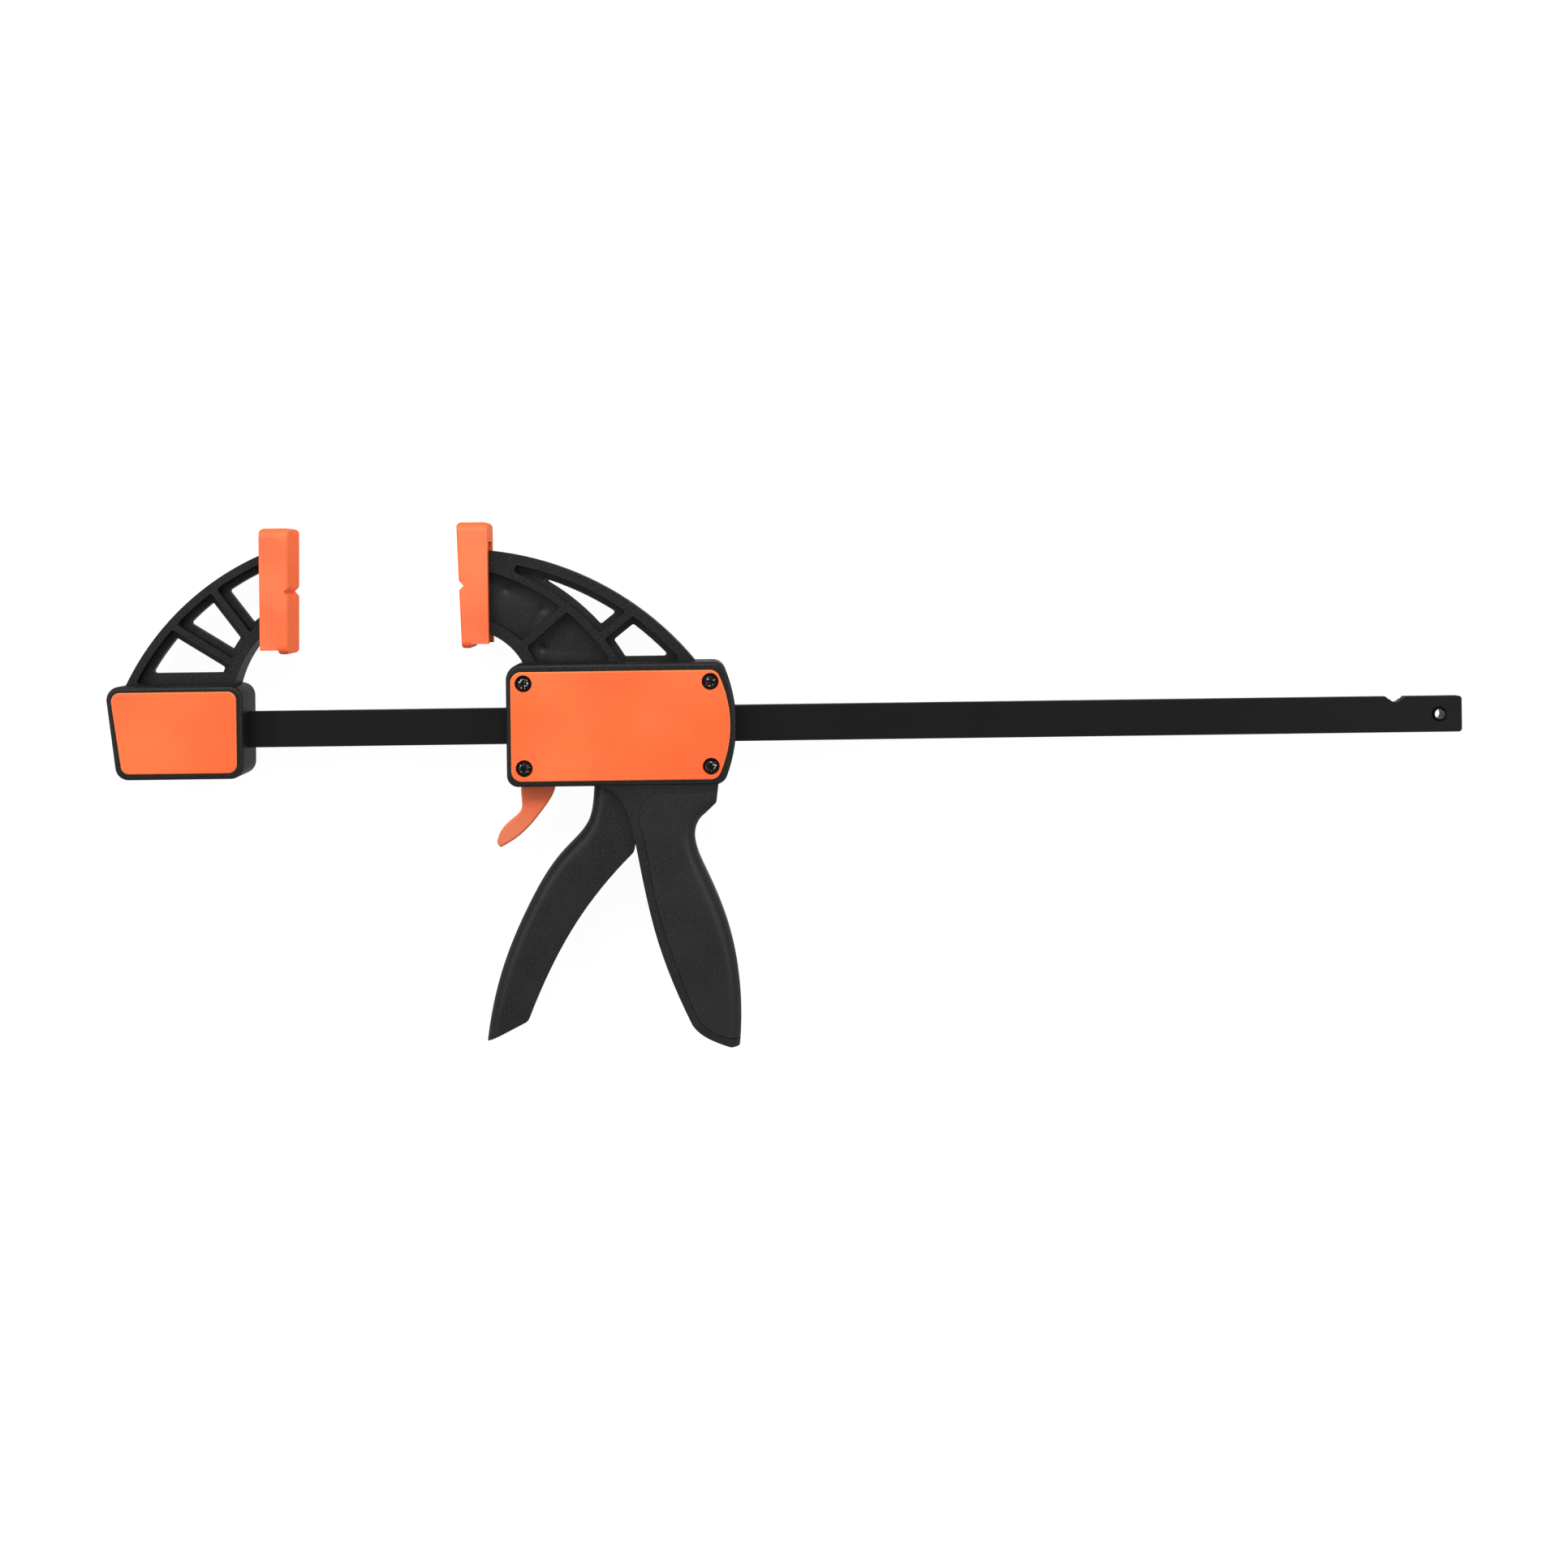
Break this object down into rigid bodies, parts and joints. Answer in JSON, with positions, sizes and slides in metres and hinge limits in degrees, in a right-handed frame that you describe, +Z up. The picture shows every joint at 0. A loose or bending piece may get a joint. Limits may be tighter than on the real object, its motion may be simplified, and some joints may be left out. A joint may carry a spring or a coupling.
{
  "type": "quick release bar clamp",
  "caption": "One-handed trigger bar clamp: a fixed jaw on a flat steel bar and a sliding jaw with grip, trigger and release lever, both jaws with soft pads.",
  "frame": {"origin": "centre of the whole clamp's bounding box in X and Y, at the flat faces of the plates that it lies on", "axes": "+X along the bar from the fixed jaw to the free end, +Y across the bar towards the jaws' tips, +Z up, away from the surface that the clamp lies on"},
  "size_m": [0.7128, 0.2764, 0.034],
  "materials": {
    "black_bar": "blackened steel, fine lengthwise grain",
    "black_nylon": "glass-filled nylon with spark-eroded grain",
    "orange_plate": "satin moulded plastic",
    "orange_pad": "soft moulded pad, matte",
    "orange_release": "satin moulded plastic",
    "soft_black": "soft overmould, matte",
    "bare_steel": "plain steel",
    "black_screw": "blackened screw"
  },
  "bodies": {
    "bar_and_jaw": {"bar": "black_bar", "fixed_jaw": "black_nylon", "fixed_jaw_front_inlay": "orange_plate", "fixed_jaw_back_inlay": "orange_plate", "fixed_pad": "orange_pad", "fixed_jaw_pin": "bare_steel", "fixed_jaw_dowel": "bare_steel", "stop_pin": "black_bar"},
    "head": {"sliding_jaw": "black_nylon", "palm_grip": "soft_black", "front_cover": "orange_plate", "back_cover": "orange_plate", "cover_screws": "black_screw", "moving_pad": "orange_pad", "trigger_pin": "bare_steel"},
    "trigger": {"trigger_lever": "black_nylon"},
    "drive": {"front_drive_plate": "bare_steel", "rear_drive_plate": "bare_steel", "drive_spring": "bare_steel"},
    "release": {"release_trigger": "orange_release", "front_brake_plate": "bare_steel", "rear_brake_plate": "bare_steel", "brake_spring": "bare_steel"}
  },
  "joints": [
    {"name": "head_slide", "type": "slide", "parent": "bar_and_jaw", "child": "head", "axis": [1, 0, 0], "range_m": [-0.0875, 0.3679]},
    {"name": "trigger_hinge", "type": "hinge", "parent": "head", "child": "trigger", "pos_m": [-0.10065, 0.0496, 0.017], "axis": [0, 0, 1], "range_deg": [0, 18], "stiffness_Nm_per_rad": 1.5, "springref_deg": -5.73},
    {"name": "drive_slide", "type": "slide", "parent": "head", "child": "drive", "axis": [1, 0, 0], "range_m": [0, 0.0107], "deforming": ["drive_spring"]},
    {"name": "release_hinge", "type": "hinge", "parent": "head", "child": "release", "pos_m": [-0.12465, 0.0524, 0.017], "axis": [0, 0, 1], "range_deg": [0, 7], "stiffness_Nm_per_rad": 0.5, "springref_deg": -2.86, "deforming": ["brake_spring"]}
  ],
  "couplings": [
    {"joint": "drive_slide", "follows": "trigger_hinge", "m_per_rad": 0.034}
  ]
}
